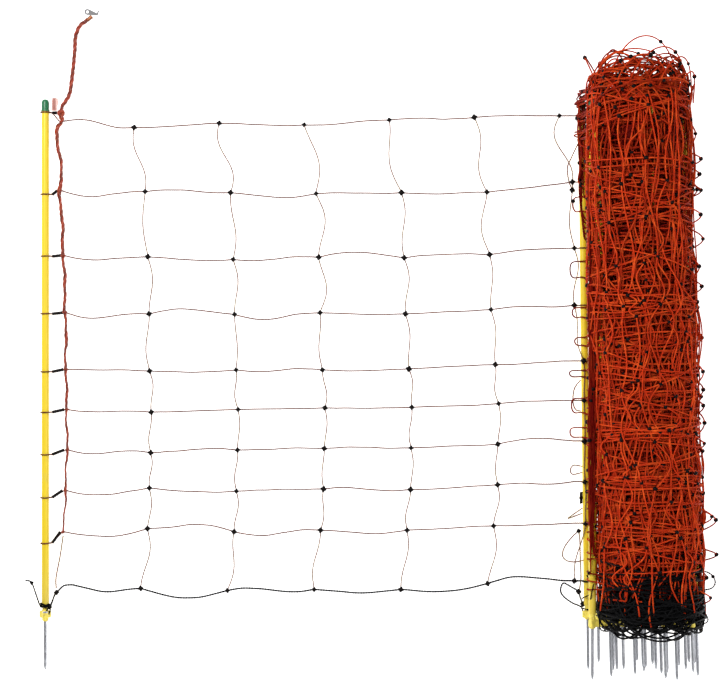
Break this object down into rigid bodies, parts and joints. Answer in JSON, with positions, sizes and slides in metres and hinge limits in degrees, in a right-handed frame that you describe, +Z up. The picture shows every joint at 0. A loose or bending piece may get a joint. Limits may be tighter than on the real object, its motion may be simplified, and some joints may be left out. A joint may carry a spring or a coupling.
{
  "type": "electric fence net",
  "caption": "Electric fence net for poultry and small stock, part unrolled: end post, stretched panel of strands, tied connecting lead with clip, and the rest rolled up round its posts.",
  "frame": {"origin": "centre of the flat underside of the roll, on the ground", "axes": "+Z up from the ground, +Y along the posts towards their tops, +X from the end post towards the roll"},
  "size_m": [1.2619, 1.2411, 0.1905],
  "materials": {
    "orange_strand": "orange polythene strand twisted with fine steel conductors",
    "black_strand": "black polythene strand without conductors",
    "yellow_post": "smooth yellow plastic",
    "green_cap": "moulded green plastic",
    "black_sleeve": "black insulating sleeve",
    "red_lead": "red strands twisted into a thick cord",
    "galvanised_steel": "galvanised steel",
    "copper_crimp": "dull copper-coloured crimp",
    "tag_film": "thin pinkish film, blank",
    "rolled_net": "loose roll of orange netting with black knots",
    "rolled_ground_strand": "loose roll of the black ground strand"
  },
  "bodies": {
    "roll": {"roll_post_02_shaft": "yellow_post", "roll_post_02_cap": "green_cap", "roll_post_02_foot": "yellow_post", "roll_post_02_long_spike": "galvanised_steel", "roll_post_02_short_spike": "galvanised_steel", "roll_post_03": "yellow_post", "roll_post_04": "yellow_post", "roll_post_05": "yellow_post", "roll_post_06": "yellow_post", "roll_post_07": "yellow_post", "roll_post_08": "yellow_post", "roll_post_09": "yellow_post", "roll_post_10": "yellow_post", "roll_post_11": "yellow_post", "roll_post_12": "yellow_post", "roll_post_13": "yellow_post", "roll_post_14": "yellow_post", "net_roll": "rolled_net", "ground_roll": "rolled_ground_strand"},
    "panel": {"row_strand_1": "orange_strand", "row_strand_2": "orange_strand", "row_strand_3": "orange_strand", "row_strand_4": "orange_strand", "row_strand_5": "orange_strand", "row_strand_6": "orange_strand", "row_strand_7": "orange_strand", "row_strand_8": "orange_strand", "row_strand_9": "orange_strand", "ground_strand": "black_strand", "column_strand_1": "orange_strand", "column_strand_2": "orange_strand", "column_strand_3": "orange_strand", "column_strand_4": "orange_strand", "column_strand_5": "orange_strand", "column_strand_6": "orange_strand", "edge_strand": "orange_strand", "sleeve_1": "black_sleeve", "sleeve_2": "black_sleeve", "sleeve_3": "black_sleeve", "sleeve_4": "black_sleeve", "sleeve_5": "black_sleeve", "sleeve_6": "black_sleeve", "sleeve_7": "black_sleeve", "sleeve_8": "black_sleeve", "sleeve_9": "black_sleeve", "lead_riser": "red_lead", "lead_knot": "red_lead", "lead_tail": "red_lead", "lead_ferrule": "copper_crimp", "lead_clip": "galvanised_steel", "ground_tail": "black_strand"},
    "end_post": {"end_post_shaft": "yellow_post", "end_post_cap": "green_cap", "end_post_foot": "yellow_post", "end_post_long_spike": "galvanised_steel", "end_post_short_spike": "galvanised_steel"},
    "tag": {"tag": "tag_film"}
  },
  "joints": [
    {"name": "panel_fold", "type": "hinge", "parent": "roll", "child": "panel", "pos_m": [-0.0998, 0, 0.0109], "axis": [-0.0113, 0.9999, 0], "range_deg": [0, 85]},
    {"name": "end_post_turn", "type": "hinge", "parent": "panel", "child": "end_post", "pos_m": [-1.108, 0, 0.0109], "axis": [0, 1, 0], "range_deg": [-90, 75]},
    {"name": "tag_flap", "type": "hinge", "parent": "panel", "child": "tag", "pos_m": [-1.092, 0.4435, 0.0075], "axis": [1, 0, 0], "range_deg": [0, 120]}
  ]
}
